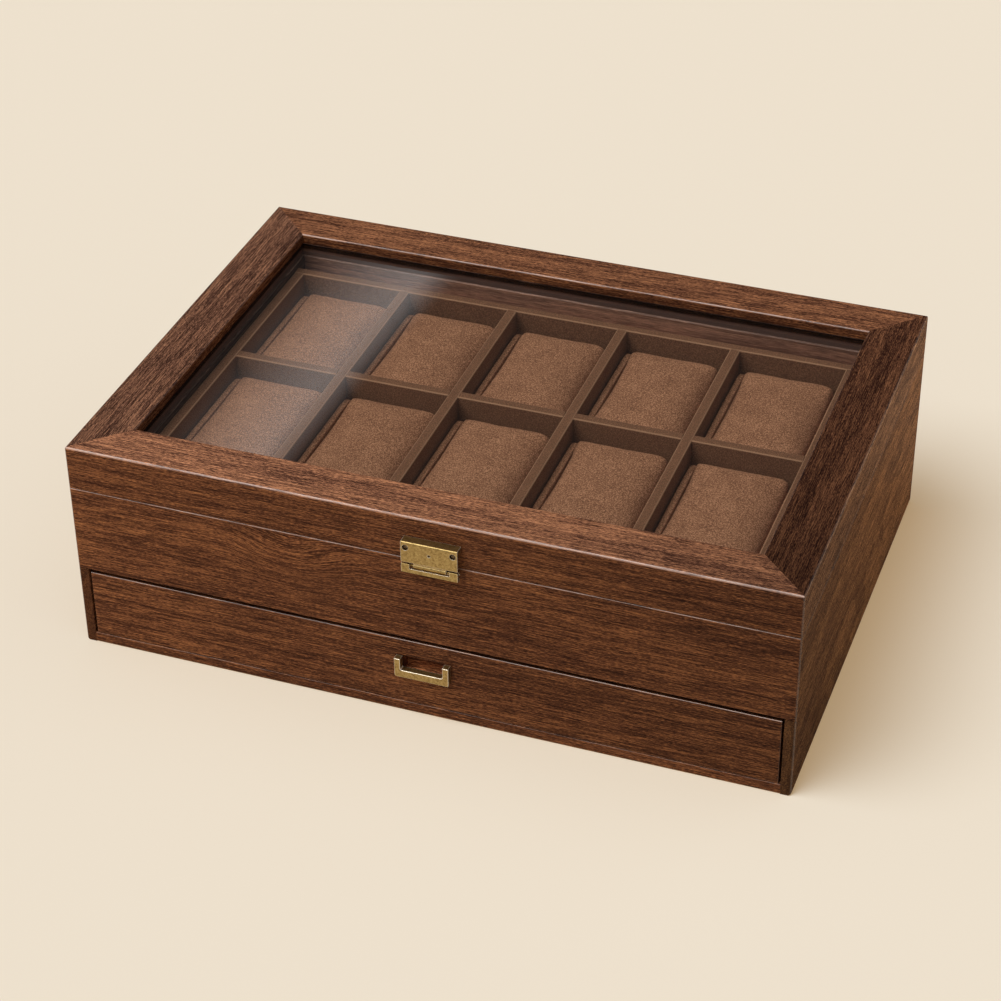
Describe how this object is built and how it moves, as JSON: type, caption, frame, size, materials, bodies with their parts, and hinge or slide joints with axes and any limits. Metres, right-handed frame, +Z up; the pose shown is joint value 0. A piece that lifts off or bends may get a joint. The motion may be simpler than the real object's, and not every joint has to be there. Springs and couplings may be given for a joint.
{
  "type": "watch box with drawer",
  "caption": "Low hinged case with a glazed mitred lid over rows of pillowed watch compartments and a full-width drawer below",
  "frame": {"origin": "centre of the underside of the case", "axes": "+X to the right along the front, +Y to the back, +Z up; the latch and the drawer pull face -Y"},
  "size_m": [0.34, 0.2502, 0.108],
  "materials": {
    "wood": "satin",
    "board": "matt",
    "suede_tray": "suede",
    "suede_pillow": "suede",
    "brass": "antique",
    "steel": "zinc plated",
    "glass": "polished"
  },
  "bodies": {
    "case": {"front_panel": "wood", "left_wall": "wood", "right_wall": "wood", "back_panel": "wood", "bottom_board": "wood", "deck_board": "board", "drawer_stops": "wood", "drawer_stop_screws": "steel", "surround_long_strips": "wood", "surround_end_strips": "wood", "tray_front_wall": "suede_tray", "tray_back_wall": "suede_tray", "tray_left_wall": "suede_tray", "tray_right_wall": "suede_tray", "tray_floor": "suede_tray", "row_divider": "suede_tray", "column_divider_1": "suede_tray", "column_divider_2": "suede_tray", "column_divider_3": "suede_tray", "column_divider_4": "suede_tray", "latch_keeper": "brass", "keeper_nails": "brass", "hinge_case_leaves": "brass", "hinge_case_screws": "brass", "hinge_pins": "brass"},
    "lid": {"lid_front_rail": "wood", "lid_back_rail": "wood", "lid_left_rail": "wood", "lid_right_rail": "wood", "glass_pane": "glass", "glass_beads_long": "wood", "glass_beads_short": "wood", "latch_plate": "brass", "latch_plate_nails": "brass", "latch_strap": "brass", "latch_rivet": "brass", "latch_pin": "brass", "hinge_lid_leaves": "brass", "hinge_lid_screws": "brass"},
    "latch": {"latch_flap": "brass"},
    "drawer": {"drawer_front": "wood", "drawer_left_side": "wood", "drawer_right_side": "wood", "drawer_back": "wood", "drawer_bottom": "wood", "drawer_lining": "suede_tray", "drawer_pull": "brass", "drawer_pull_screws": "brass"},
    "pillow_body_1": {"pillow_1": "suede_pillow"},
    "pillow_body_2": {"pillow_2": "suede_pillow"},
    "pillow_body_3": {"pillow_3": "suede_pillow"},
    "pillow_body_4": {"pillow_4": "suede_pillow"},
    "pillow_body_5": {"pillow_5": "suede_pillow"},
    "pillow_body_6": {"pillow_6": "suede_pillow"},
    "pillow_body_7": {"pillow_7": "suede_pillow"},
    "pillow_body_8": {"pillow_8": "suede_pillow"},
    "pillow_body_9": {"pillow_9": "suede_pillow"},
    "pillow_body_10": {"pillow_10": "suede_pillow"}
  },
  "joints": [
    {"name": "lid_hinge", "type": "hinge", "parent": "case", "child": "lid", "pos_m": [0, 0.1215, 0.086], "axis": [-1, 0, 0], "range_deg": [0, 95]},
    {"name": "latch_hinge", "type": "hinge", "parent": "lid", "child": "latch", "pos_m": [0.006, -0.1222, 0.0851], "axis": [-1, 0, 0], "range_deg": [0, 95]},
    {"name": "drawer_slide", "type": "slide", "parent": "case", "child": "drawer", "axis": [0, -1, 0], "range_m": [0, 0.15]},
    {"name": "pillow_lift_1", "type": "slide", "parent": "case", "child": "pillow_body_1", "axis": [0, 0, 1], "range_m": [0, 0.012]},
    {"name": "pillow_lift_2", "type": "slide", "parent": "case", "child": "pillow_body_2", "axis": [0, 0, 1], "range_m": [0, 0.012]},
    {"name": "pillow_lift_3", "type": "slide", "parent": "case", "child": "pillow_body_3", "axis": [0, 0, 1], "range_m": [0, 0.012]},
    {"name": "pillow_lift_4", "type": "slide", "parent": "case", "child": "pillow_body_4", "axis": [0, 0, 1], "range_m": [0, 0.012]},
    {"name": "pillow_lift_5", "type": "slide", "parent": "case", "child": "pillow_body_5", "axis": [0, 0, 1], "range_m": [0, 0.012]},
    {"name": "pillow_lift_6", "type": "slide", "parent": "case", "child": "pillow_body_6", "axis": [0, 0, 1], "range_m": [0, 0.012]},
    {"name": "pillow_lift_7", "type": "slide", "parent": "case", "child": "pillow_body_7", "axis": [0, 0, 1], "range_m": [0, 0.012]},
    {"name": "pillow_lift_8", "type": "slide", "parent": "case", "child": "pillow_body_8", "axis": [0, 0, 1], "range_m": [0, 0.012]},
    {"name": "pillow_lift_9", "type": "slide", "parent": "case", "child": "pillow_body_9", "axis": [0, 0, 1], "range_m": [0, 0.012]},
    {"name": "pillow_lift_10", "type": "slide", "parent": "case", "child": "pillow_body_10", "axis": [0, 0, 1], "range_m": [0, 0.012]}
  ]
}
